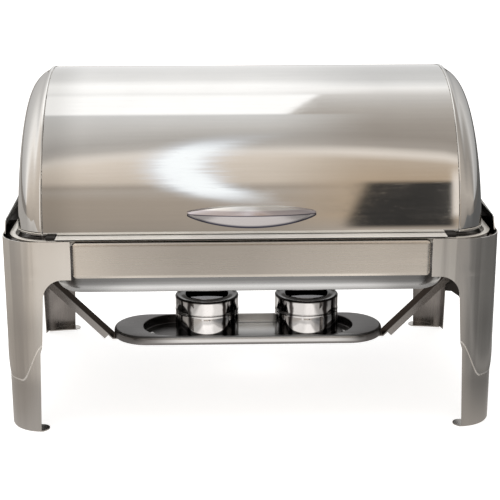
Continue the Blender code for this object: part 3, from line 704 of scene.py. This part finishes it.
def make_cover_end(side_name):
    """A pressed cap: a lip over the seam, a wide rounded edge and a flat, slightly leaning wall."""
    side = SIDES[side_name]
    rings = []
    for x, inset in cap_stations():
        lean = CAP_DRAFT * cap_settled(x)
        rings.append([(side * (px - lean * (pz - HEM)), py, pz) for px, py, pz in section(x, inset)])
    bm = bmesh.new()
    rim = grid(bm, rings, flip=side > 0)[-1]
    pivot = middle_of(f"hinge_washer_{side_name}")
    hole = []
    for i in range(HOLE_SIDES):
        angle = 2 * math.pi * i / HOLE_SIDES
        z = pivot.z + PIN_HOLE * math.sin(angle)
        x = side * (CAP_HIGH.x - CAP_DRAFT * (z - HEM))
        hole.append(bm.verts.new((x, pivot.y + PIN_HOLE * math.cos(angle), z)))
    wall = rim + hole
    loops = [[Vector((vertex.co.y, vertex.co.z, 0)) for vertex in loop] for loop in (rim, hole)]
    for triangle in tessellate_polygon(loops):
        face = bm.faces.new([wall[i] for i in triangle])
        face.normal_update()
        if face.normal.x * side < 0:
            face.normal_flip()
    cap = add_piece(f"cover_cap_{side_name}", bm, "cover", COVER, f"cover_end_{side_name}", 50)
    thicken(cap, SHEET)


def make_handle():
    """A bowed, leaf-shaped grip with a crisp ridge, pointed at both ends."""
    low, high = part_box("handle")
    level = middle_of("handle").z
    bow = CENTRE_Y - low.y - HANDLE_TIPS
    rows = []
    for i in range(61):
        t = -math.cos(math.pi * i / 60)
        full = math.sqrt(max(0.0, 1 - t * t))
        tall = LEAF_TIP + LEAF_TALL * full ** LEAF_POWER
        ridge = level + RIDGE_RISE * full
        reach = HANDLE_TIPS + bow * full ** 1.3
        thin = 0.0030 + 0.0010 * full
        rim = reach - 0.0070 * full - 0.0006
        face = []
        for share in (0.04, 0.30, 0.55, 0.80, 0.95):
            bulge = 0.0009 * math.sin(math.pi * share) * full
            face.append((reach + (rim - reach) * share + bulge, share))
        upper = [(y, ridge + (level + tall - ridge) * share) for y, share in face]
        lower = [(y, ridge + (level - tall - ridge) * share) for y, share in reversed(face)]
        outside = [(rim, level - tall)] + lower + [(reach, ridge)] + upper + [(rim, level + tall)]
        inside = [(rim - 0.0012, level + tall), (reach - thin, ridge), (rim - 0.0012, level - tall)]
        rows.append([(high.x * t, CENTRE_Y - y, z) for y, z in outside + inside])
    bm = bmesh.new()
    made = grid(bm, rows, closed=True)
    bm.faces.new(made[0])
    bm.faces.new(made[-1])
    bmesh.ops.recalc_face_normals(bm, faces=bm.faces)
    add_piece("cover_handle", bm, "cover", HANDLE, "handle", 12)


# Frame ----------------------------------------------------------------------------------------

CORNER = 0.047
FLANGE_X = HALF_LENGTH - CORNER
FLANGE_Y = HALF_DEPTH - CORNER
HALF_ARC = CORNER * math.pi / 4

# A leg's edge leans in from its foot, then turns in an arch that ends level at its top. Above the
# arch of the front edge is the shoulder, which reaches further in.
FRONT_EDGE = {"foot": 0.2805, "lean": 0.0105, "arch": 0.026, "top": 0.2111}
SIDE_EDGE = {"foot": 0.1740, "lean": 0.0140, "arch": 0.013, "top": 0.0980}
SHOULDER = FRONT_EDGE["top"]
SHOULDER_X = 0.2327
LEG_COLUMNS = 41

# Heights on a leg. The part below the crease is set back by its depth.
FOOT_Z = 0.0017
LOWER_TALL = 0.0700
LOWER_DEPTH = 0.0014
CREASE_LOW = 0.0715
CREASE_HIGH = 0.1215
CREASE_EDGE = 0.1200
UPPER_LOW = 0.1400
FOOT_SHEET = 0.0016


def edge_place(z, foot, lean, arch, top):
    """How far out a leg's edge is at a height."""
    turn = top - arch
    if z < turn:
        return foot - lean * z / turn
    return foot - lean - arch + math.sqrt(max(arch ** 2 - (z - turn) ** 2, 0.0))


def edges_at(z):
    """Where a leg's front edge and its side edge are at a height."""
    return edge_place(z, **FRONT_EDGE), edge_place(z, **SIDE_EDGE)


def leg_point(s, z, depth, side, end):
    """A point on a leg: s runs along its plan from the front flange round the corner to the side."""
    reach = CORNER - depth
    if s < -HALF_ARC:
        x, y = FLANGE_X + HALF_ARC + s, FLANGE_Y + reach
    elif s > HALF_ARC:
        x, y = FLANGE_X + reach, FLANGE_Y + HALF_ARC - s
    else:
        angle = math.pi / 4 - s / CORNER
        x, y = FLANGE_X + reach * math.cos(angle), FLANGE_Y + reach * math.sin(angle)
    return (side * x, CENTRE_Y + end * y, z)


def front_place(x):
    """The s of a place x on the leg's front."""
    if x <= FLANGE_X:
        return x - FLANGE_X - HALF_ARC
    return CORNER * math.asin((x - FLANGE_X) / CORNER) - HALF_ARC


def side_place(y):
    """The s of a place y on the leg's side."""
    if y <= FLANGE_Y:
        return FLANGE_Y + HALF_ARC - y
    return HALF_ARC - CORNER * math.asin((y - FLANGE_Y) / CORNER)


def crease(s):
    """The height of the crease across a leg, which is lowest at the corner."""
    return CREASE_LOW + (CREASE_HIGH - CREASE_LOW) * smooth(0.010, 0.042, abs(s))


def make_leg(end_name, side_name):
    """A leg pressed from sheet, with a crease across its lower part."""
    side, end = SIDES[side_name], ENDS[end_name]
    rows = []

    def add_row(edges, depth, height):
        """Points across the leg from edge to edge, t of the way, at a depth and at height(s, t)."""
        first, last = front_place(edges[0]), side_place(edges[1])
        places = [(t, first + (last - first) * t) for t in spread(0, 1, LEG_COLUMNS)]
        rows.append([leg_point(s, height(s, t), depth, side, end) for t, s in places])

    # The lower part.
    lower = (0, 0.2, 0.4, 0.6, 0.8, 0.92)
    for share in lower:
        edges = edges_at(FOOT_Z + share * LOWER_TALL)
        add_row(edges, LOWER_DEPTH, lambda s, t: FOOT_Z + share * (crease(s) - FOOT_Z))
    # The crease, by how far a row is above it and how deep it is.
    for above, depth in ((-0.0014, 0.0013), (-0.0004, 0.0003), (0.0004, -0.0003), (0.0016, 0.0)):
        add_row(edges_at(CREASE_EDGE), depth, lambda s, t: crease(s) + above)
    # The upper part, up to the arch of its front edge.
    arch = FRONT_EDGE["arch"]
    levels = spread(UPPER_LOW, SHOULDER - arch, 5)
    levels += [SHOULDER - arch * left for gone, left in bend(9, 90, 10)]
    for level in levels:
        add_row(edges_at(level), 0.0, lambda s, t: level)
    # The shoulder, by the height at its front edge and further round.
    top = FRAME_TOP - 0.0006
    edges = (SHOULDER_X, edges_at(SHOULDER)[1])
    for at_front, beyond in ((SHOULDER, 0.2205), (0.2300, 0.2340), (0.2480, 0.2490), (top, top)):
        add_row(edges, 0.0, lambda s, t: at_front + (beyond - at_front) * smooth(0.0, 0.3, t))

    bm = bmesh.new()
    grid(bm, rows, flip=side * end > 0)
    # The rows at the crease take the painted highlight.
    for i, face in enumerate(bm.faces):
        if len(lower) <= i // (LEG_COLUMNS - 1) < len(lower) + 3:
            face.material_index = 2
    node = f"leg_{end_name}_{side_name}"
    leg = add_piece(f"leg_sheet_{end_name}_{side_name}", bm, "frame", LEG, node, 40)
    for material in (LEG_INSIDE_SHADE, CREASE_HIGHLIGHT, LEG_INSIDE_SHADE):
        leg.data.materials.append(material)
    thicken(leg, SHEET)
    # The inner side of the sheet takes the painted shade.
    leg.modifiers["thickness"].material_offset = 1
    soften(leg, 0.0003, 2, 60)


def make_foot(end_name, side_name):
    """The leg's end, folded in along the floor, with a round nose at its inner end."""
    side, end = SIDES[side_name], ENDS[end_name]
    plan = arc(FLANGE_X, FLANGE_Y, CORNER - SHEET - 0.0011, 90, 22, 14)
    plan += [(0.3010, 0.1905), (0.2860, 0.1925)]
    plan += arc(0.2812, 0.2035, 0.0105, -90, -236, 14)
    plan = [(side * x, CENTRE_Y + end * y) for x, y in plan]
    bm = bmesh.new()
    low, high = grid(bm, [[(x, y, z) for x, y in plan] for z in (0.0, FOOT_SHEET)], closed=True)
    bm.faces.new(low)
    bm.faces.new(list(reversed(high)))
    bmesh.ops.recalc_face_normals(bm, faces=bm.faces)
    foot = add_piece(f"leg_foot_{end_name}_{side_name}", bm, "frame", LEG)


def make_apron(end_name):
    """A shallow pressed panel with rounded, returned edges."""
    end = ENDS[end_name]
    low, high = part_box(f"{end_name}_apron")
    half_x, half_z = (high.x - low.x) / 2, (high.z - low.z) / 2
    turn, corner = 0.0045, 0.0055
    rings = [(0.0, high.y - low.y)]
    rings += [(turn * gone, turn * left) for gone, left in bend(0, 90, 8)]
    rings.append((turn + 0.0015, 0.0))
    rows = []
    for inset, behind in rings:
        outline = rounded_rectangle(half_x - inset, half_z - inset, max(corner - inset, 0.0008), 8)
        y = CENTRE_Y + end * (HALF_DEPTH - behind)
        rows.append([(x, y, (low.z + high.z) / 2 + z) for x, z in outline])
    bm = bmesh.new()
    close_sheet(bm, grid(bm, rows, closed=True)[-1], (0, end, 0))
    apron = add_piece(f"{end_name}_apron_skin", bm, "frame", APRON, f"{end_name}_apron", 60)
    thicken(apron, SHEET)


def make_collar():
    """The ring round the opening, with a rolled inner edge."""
    low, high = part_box("collar")
    inner_x, inner_y, corner = 0.3090, 0.2010, 0.0450
    roll = 0.0020
    wide = high.x - inner_x
    stations = [(0.0, high.z - low.z)]
    stations += [(roll * left, roll * gone) for gone, left in bend(90, 0, 7)]
    stations += [(0.0050, 0.0), (wide - 0.0006, 0.0), (wide, 0.0004)]
    rows = []
    for out, drop in stations:
        rows.append(level_ring(inner_x + out, inner_y + out, corner + out, high.z - drop, 24))
    bm = bmesh.new()
    grid(bm, rows, closed=True, flip=True)
    collar = add_piece("collar_band", bm, "frame", COLLAR, "collar", 60)
    thicken(collar, SHEET)


# Pans -----------------------------------------------------------------------------------------

PAN_LIP = 0.0020
PAN_STEPS = 20


def make_pan(node, material, rim, body, rim_radius, edge, taper):
    """A drawn pan: flat rim with a rounded lip, straight walls and a rounded bottom edge.

    rim and body are half sizes, edge is the radius of the bottom edge, and taper is how much the
    walls draw in.
    """
    low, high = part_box(node)
    top, floor = high.z, low.z + THIN_SHEET
    body_radius = rim_radius - (rim[0] - body[0]) + 0.004
    inside = edge - THIN_SHEET
    rows = []

    def ring(size, out, radius, z):
        rows.append(level_ring(size[0] + out, size[1] + out, radius, z, PAN_STEPS))

    ring(rim, 0.0, rim_radius, top - 0.0006)
    ring(rim, -0.0006, rim_radius - 0.0006, top)
    ring(body, PAN_LIP - THIN_SHEET, body_radius + PAN_LIP, top)
    for gone, left in bend(20, 90, 5):
        out = PAN_LIP * left - THIN_SHEET
        ring(body, out, body_radius + out, top - PAN_LIP * gone)
    for gone, left in bend(0, 90, 9):
        out = -(taper + inside * gone + THIN_SHEET)
        ring(body, out, max(body_radius + out, 0.005), floor + inside * left)
    ring(body, -(taper + edge + 0.010), 0.020, floor)
    bm = bmesh.new()
    close_sheet(bm, grid(bm, rows, closed=True)[-1], (0, 0, 1))
    pan = add_piece(f"{node}_sheet", bm, node, material, node, 60)
    thicken(pan, THIN_SHEET)


# Fuel shelf and holders -----------------------------------------------------------------------

# The recess of the tray: half its length, half its depth and the radius of its corners.
RECESS = (0.1555, 0.0488, 0.0480)
TRAY_CORNER = 0.0520
LIP_END = 0.0615
TRAY_STEPS = 24


def make_shelf():
    """A pressed tray: rolled-down lip, flat border and one long recess."""
    low, high = TRAY_LOW, TRAY_HIGH
    outer = (high.x, high.y - CENTRE_Y, TRAY_CORNER)
    roll, brow, well = 0.0045, 0.0012, 0.0016
    floor = low.z + SHEET
    rows = []

    def ring(shape, out, z):
        half_x, half_y, corner = shape
        rows.append(level_ring(half_x + out, half_y + out, corner + out, z, TRAY_STEPS))

    ring(outer, -0.0008, LIP_END)
    ring(outer, 0.0, LIP_END + 0.0010)
    for gone, left in bend(0, 90, 8):
        ring(outer, -roll * gone, high.z - roll * left)
    for gone, left in bend(0, 90, 6):
        ring(RECESS, brow * left - 0.0008, high.z - brow * gone)
    for gone, left in bend(0, 90, 6):
        ring(RECESS, -0.0010 - well * gone, floor + well * left)
    ring(RECESS, -0.0060, floor)
    bm = bmesh.new()
    close_sheet(bm, grid(bm, rows, closed=True)[-1], (0, 0, 1))
    shelf = add_piece("fuel_tray", bm, "frame", TRAY, "fuel_shelf", 60)
    thicken(shelf, SHEET)


def make_holder_cup(side_name):
    """A spun cup with a rounded bottom edge and a bead at its rim."""
    low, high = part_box(f"fuel_holder_{side_name}")
    radius = (high.x - low.x) / 2
    floor, joint = low.z, high.z
    edge = 0.0026
    profile = [(0, floor + THIN_SHEET)]
    profile += arc(radius - edge, floor + edge, edge - THIN_SHEET, -90, 0, 5)
    profile += [(radius - THIN_SHEET, joint - 0.0002), (radius - THIN_SHEET / 2, joint)]
    profile += arc(radius - 0.0006, joint - 0.0008, 0.0006, 60, -40, 4)
    profile += [(radius - 0.0005, joint - 0.0022), (radius - 0.0001, joint - 0.0036)]
    profile += arc(radius - edge, floor + edge, edge, 0, -90, 5)
    profile += [(0, floor)]
    bm = bmesh.new()
    lathe(bm, profile, middle_of(f"fuel_holder_{side_name}"))
    bmesh.ops.remove_doubles(bm, verts=bm.verts, dist=0.00001)
    body, node = f"burner_{side_name}", f"fuel_holder_{side_name}"
    add_piece(f"holder_cup_{side_name}", bm, body, HOLDER, node, 45)


def make_holder_lid(side_name):
    """A pressed ring: a dished top round the mouth, a rolled shoulder, and a bead over the joint."""
    low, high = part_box(f"fuel_holder_{side_name}")
    start, top = [corner.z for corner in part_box(f"fuel_cover_{side_name}")]
    radius, joint = (high.x - low.x) / 2, high.z
    mouth = 0.0300
    dish = mouth + 0.0070
    inside = radius - 0.0024
    profile = [(mouth, top - 0.0012), (mouth + 0.0004, top - 0.0003), (mouth + 0.0014, top)]
    profile += [(mouth + 0.0040, top - 0.0002), (dish, top - 0.0008), (radius - 0.0060, top - 0.0008)]
    profile += arc(radius - 0.0030, top - 0.0022, 0.0022, 100, 60, 4)
    profile += arc(radius - 0.0016, top - 0.0024, 0.0016, 50, 0, 4)
    profile += [(radius - 0.0002, top - 0.0050), (radius - 0.0002, joint + 0.0024)]
    profile += arc(radius - 0.0008, joint + 0.0014, 0.0008, 50, -60, 5)
    profile += [(radius - 0.0016, joint + 0.0006), (radius - 0.0016, start), (inside, start)]
    profile += [(inside, top - 0.0042), (radius - 0.0040, top - 0.0024), (dish, top - 0.0019)]
    profile += [(mouth + 0.0016, top - 0.0014)]
    bm = bmesh.new()
    lathe(bm, profile + profile[:1], middle_of(f"fuel_holder_{side_name}"))
    bmesh.ops.remove_doubles(bm, verts=bm.verts, dist=0.00001)
    bmesh.ops.recalc_face_normals(bm, faces=bm.faces)
    body, node = f"burner_{side_name}", f"fuel_cover_{side_name}"
    add_piece(f"holder_lid_{side_name}", bm, body, HOLDER, node, 45)


# Everything built -----------------------------------------------------------------------------

make_cover_panel()
make_handle()
make_collar()
make_shelf()
for side_name in SIDES:
    make_cover_end(side_name)
    make_holder_cup(side_name)
    make_holder_lid(side_name)
for end_name in ENDS:
    make_apron(end_name)
    for side_name in SIDES:
        make_leg(end_name, side_name)
        make_foot(end_name, side_name)
make_pan("water_pan", PAN, (0.278, 0.1755), (0.264, 0.163), 0.050, 0.020, 0.001)
make_pan("food_pan", FOOD_PAN_LIT, (0.265, 0.1625), (0.2525, 0.150), 0.045, 0.014, 0.005)

KEPT = {
    "end_panel": SHADED_MIRROR,
    "ring_bracket": DARK,
    "front_bracket": DARK,
    "hinge_plate": DARK,
    "shelf_strut": STRUT,
    "hinge_pin": CHROME,
    "hinge_spacer": CHROME,
    "hinge_nut": CHROME,
    "shelf_rivet": CHROME,
    "strut_rivet": CHROME,
    "handle_screw": CHROME,
    "damper_rivet": CHROME,
    "hinge_washer": NYLON,
    "fuel_can": TIN,
    "damper": DAMPER_SHADE,
    "cover_bumper": RUBBER,
}
for kind, material in KEPT.items():
    for side_name in SIDES:
        finish_like(f"{kind}_{side_name}", material)
finish_like("pan_support_ring", DARK)
for end_name in ENDS:
    finish_like(f"{end_name}_ledge", LEDGE, 0.0005, 3)


# Surroundings, light and camera ---------------------------------------------------------------


def room_ahead(g, x, angle):
    """The walls and the ceiling, which are greyer and browner to the right.

    angle goes up from 0, level in front, over 90, straight up, to 180, level behind.
    """
    aside = g.times(g.minus(x, 0.035), 1 / 0.13)
    bow = g.times(g.patch((angle, 30, 46), (angle, 86, 70)), g.minus(1.0, g.times(aside, aside)))
    bent = g.minus(angle, g.times(bow, 6.0))
    left = g.tones(bent, (
        (-90, 140, 0.10), (-14, 136, 0.14), (0, 143, 0.16), (14, 147, 0.16), (21, 158, 0.12),
        (25, 149, 0.14), (30, 184, 0.14), (44, 199, 0.12), (50, 207, 0.08), (56, 172, 0.06),
        (62, 166, 0.05), (76, 188, 0.03), (88, 200, 0.01), (90.5, 202, 0.0), (92.5, 255, 0.0),
        (112, 255, 0.0), (115, 240, 0.0), (119, 250, 0.0), (127, 254, 0.0), (131, 244, 0.0),
        (137, 226, 0.0), (150, 218, 0.0), (165, 218, 0.0), (180, 222, 0.0),
    ))
    right = g.tones(bent, (
        (-90, 120, 0.08), (-14, 160, 0.12), (0, 156, 0.28), (28, 152, 0.28), (36, 156, 0.24),
        (44, 164, 0.20), (50, 206, 0.09), (53, 194, 0.09), (57, 152, 0.10), (66, 139, 0.11),
        (80, 148, 0.10), (96, 168, 0.07), (106, 184, 0.04), (113, 200, 0.03), (122, 236, 0.01),
        (128, 222, 0.0), (134, 204, 0.0), (150, 196, 0.0), (165, 200, 0.0), (180, 215, 0.0),
    ))
    crisp = g.fade(g.minus(x, g.remap(angle, 91, 113, 0.056, 0.079)), -0.003, 0.004)
    gentle = g.fade(x, 0.03, 0.13)
    overhead = g.patch((angle, 90, 92), (angle, 116, 113))
    across = g.plus(g.times(overhead, crisp), g.times(g.minus(1.0, overhead), gentle))
    return g.mix(across, left, right)


def add_case(g, room, x, angle):
    """A dark case to the right, with a bright rim beside it."""
    leaning = g.minus(x, g.remap(angle, -5, 26, 0.098, 0.112))
    case = g.patch((leaning, -0.002, 0.010), (x, 0.200, 0.186), (angle, -13, -8), (angle, 31, 26))
    rim = g.patch((x, 0.186, 0.194), (x, 0.250, 0.215), (angle, -6, 2), (angle, 46, 30))
    return g.mix(rim, g.mix(case, room, grey(50, 0.05)), grey(214, 0.09))


def add_glare(g, room, x, angle):
    """A bowed, ragged upright of bluish light, with a brighter core."""
    off = g.minus(angle, 42.0)
    ragged = g.noise(g.place("Generated"), EVEN, scale=26.0, detail=3.0, roughness=0.6)
    bowed = g.plus(g.times(g.times(off, off), 0.000059), -0.044)
    away = g.absolute(g.minus(x, g.plus(bowed, g.times(ragged, 0.030))))
    glow = g.patch((away, 0.043, 0.004), (angle, 4, 28), (angle, 76, 50))
    core = g.patch((away, 0.025, 0.009), (angle, 10, 24), (angle, 68, 54))
    uneven = g.times(glow, g.remap(ragged, 0.3, 0.7, 0.6, 1.0))
    return g.mix(core, g.mix(uneven, room, (0.80, 0.88, 1.0, 1.0)), (0.93, 0.97, 1.0, 1.0))


def add_sides(g, room, x, angle):
    """The walls far out at both sides, and on the left one a window low down and a lamp overhead."""
    left = g.tones(angle, (
        (-90, 120, 0.08), (-16, 152, 0.13), (10, 168, 0.13), (40, 184, 0.12), (75, 200, 0.08),
        (100, 228, 0.04), (120, 226, 0.02), (150, 190, 0.02), (180, 170, 0.02),
    ))
    right = g.tones(angle, (
        (-90, 90, 0.05), (-16, 120, 0.10), (0, 146, 0.10), (25, 164, 0.10), (60, 150, 0.09),
        (90, 138, 0.08), (115, 150, 0.05), (140, 190, 0.02), (180, 150, 0.0),
    ))
    room = g.mix(g.fade(x, -0.16, -0.26), room, left)
    room = g.mix(g.fade(x, 0.205, 0.270), room, right)
    window = g.patch((x, -0.20, -0.24), (x, -0.36, -0.30), (angle, -14, -4), (angle, 44, 26))
    lamp = g.patch((x, -0.14, -0.20), (x, -0.50, -0.36), (angle, 78, 92), (angle, 128, 112))
    return g.mix(lamp, g.mix(g.times(window, 0.85), room, grey(254, 0.03)), grey(252, 0.02))


def make_world():
    """A plain room that only reflections see: white to the eye, and drawn by direction otherwise."""
    world = bpy.data.worlds.new("studio")
    bpy.context.scene.world = world
    world.use_nodes = True
    g = Graph(world.node_tree)
    x, y, z = g.axes("Generated")
    angle = g.degrees(z, g.times(y, -1.0))
    room = room_ahead(g, x, angle)
    for add in (add_case, add_glare, add_sides):
        room = add(g, room, x, angle)
    reflected = g.add("Background", {"Color": room, "Strength": 1.28})
    shown = g.add("Background", {"Color": (1.0, 1.0, 1.0, 1.0), "Strength": 1.0})
    seen = g.add("LightPath").outputs["Is Camera Ray"]
    g.add("OutputWorld", {"Surface": g.choose(seen, reflected, shown)})


def paper_material():
    """White paper to the eye, and in reflections a room floor that darkens to the right."""
    material, g = new_material("paper")
    paper = g.add("BsdfDiffuse", {"Color": (0.80, 0.80, 0.80, 1.0)})
    lift = g.add("Emission", {"Color": (1.0, 1.0, 1.0, 1.0), "Strength": 0.74})
    shown = g.add("AddShader")
    g.feed(shown.inputs[0], paper.outputs[0])
    g.feed(shown.inputs[1], lift.outputs[0])
    x, y, z = g.axes()
    colour = g.tones(x, (
        (-1.5, 188, 0.05), (-0.9, 176, 0.07), (-0.55, 180, 0.08), (-0.38, 196, 0.06),
        (-0.30, 214, 0.04), (0.15, 206, 0.04), (0.30, 196, 0.05), (0.40, 158, 0.03),
        (0.47, 138, 0.02), (0.52, 160, 0.02), (0.58, 128, 0.01), (0.75, 112, 0.01), (1.5, 104, 0.0),
    ))
    towards = g.remap(y, -1.2, -0.3, 1.25, 0.85)
    ahead = g.patch((y, -0.68, -0.52), (g.absolute(x), 0.24, 0.18))
    reflected = g.add("Emission", {"Color": colour, "Strength": g.plus(towards, g.times(ahead, 0.75))})
    seen = g.add("LightPath").outputs
    direct = g.math("MAXIMUM", seen["Is Camera Ray"], seen["Is Diffuse Ray"])
    g.add("OutputMaterial", {"Surface": g.choose(direct, reflected, shown)})
    return material


def make_floor():
    """A plain pale floor, staged so that it isn't part of the chafer."""
    wide, near, far = 4.0, -1.3, 9.0
    bm = bmesh.new()
    corners = ((-wide, near, 0), (wide, near, 0), (wide, far, 0), (-wide, far, 0))
    bm.faces.new([bm.verts.new(corner) for corner in corners])
    mesh = bpy.data.meshes.new("floor")
    bm.to_mesh(mesh)
    bm.free()
    mesh.materials.append(paper_material())
    floor = bpy.data.objects.new("floor", mesh)
    bpy.context.scene.collection.objects.link(floor)


def make_light():
    """A large soft lamp overhead, a little to the left and in front, that isn't itself reflected."""
    light = bpy.data.lights.new("overhead", "AREA")
    light.shape = "RECTANGLE"
    light.size, light.size_y = 1.6, 1.2
    light.energy = 16
    lamp = bpy.data.objects.new("overhead", light)
    lamp.location = (-0.2, -0.2, 2.2)
    lamp.visible_glossy = False
    bpy.context.scene.collection.objects.link(lamp)


def make_camera():
    """The camera at the product view: in front, a little above and a little to the left."""
    camera = bpy.data.cameras.new("camera")
    camera.sensor_width = 36
    camera.lens = 91.56
    obj = bpy.data.objects.new("camera", camera)
    bpy.context.scene.collection.objects.link(obj)
    yaw, pitch, roll = 0.0265, 0.2755, -0.0021
    level = math.cos(pitch)
    forward = Vector((math.sin(yaw) * level, math.cos(yaw) * level, -math.sin(pitch)))
    right = Vector((math.cos(yaw), -math.sin(yaw), 0))
    up = right.cross(forward)
    across = math.cos(roll) * right + math.sin(roll) * up
    upward = math.cos(roll) * up - math.sin(roll) * right
    turn = Matrix((across, upward, -forward)).transposed()
    obj.matrix_world = Matrix.Translation((-0.0442, CENTRE_Y - 1.7847, 0.6927)) @ turn.to_4x4()
    bpy.context.scene.camera = obj


make_world()
make_floor()
make_light()
make_camera()
bpy.context.scene.view_settings.view_transform = "Standard"
bpy.context.scene.view_settings.look = "None"
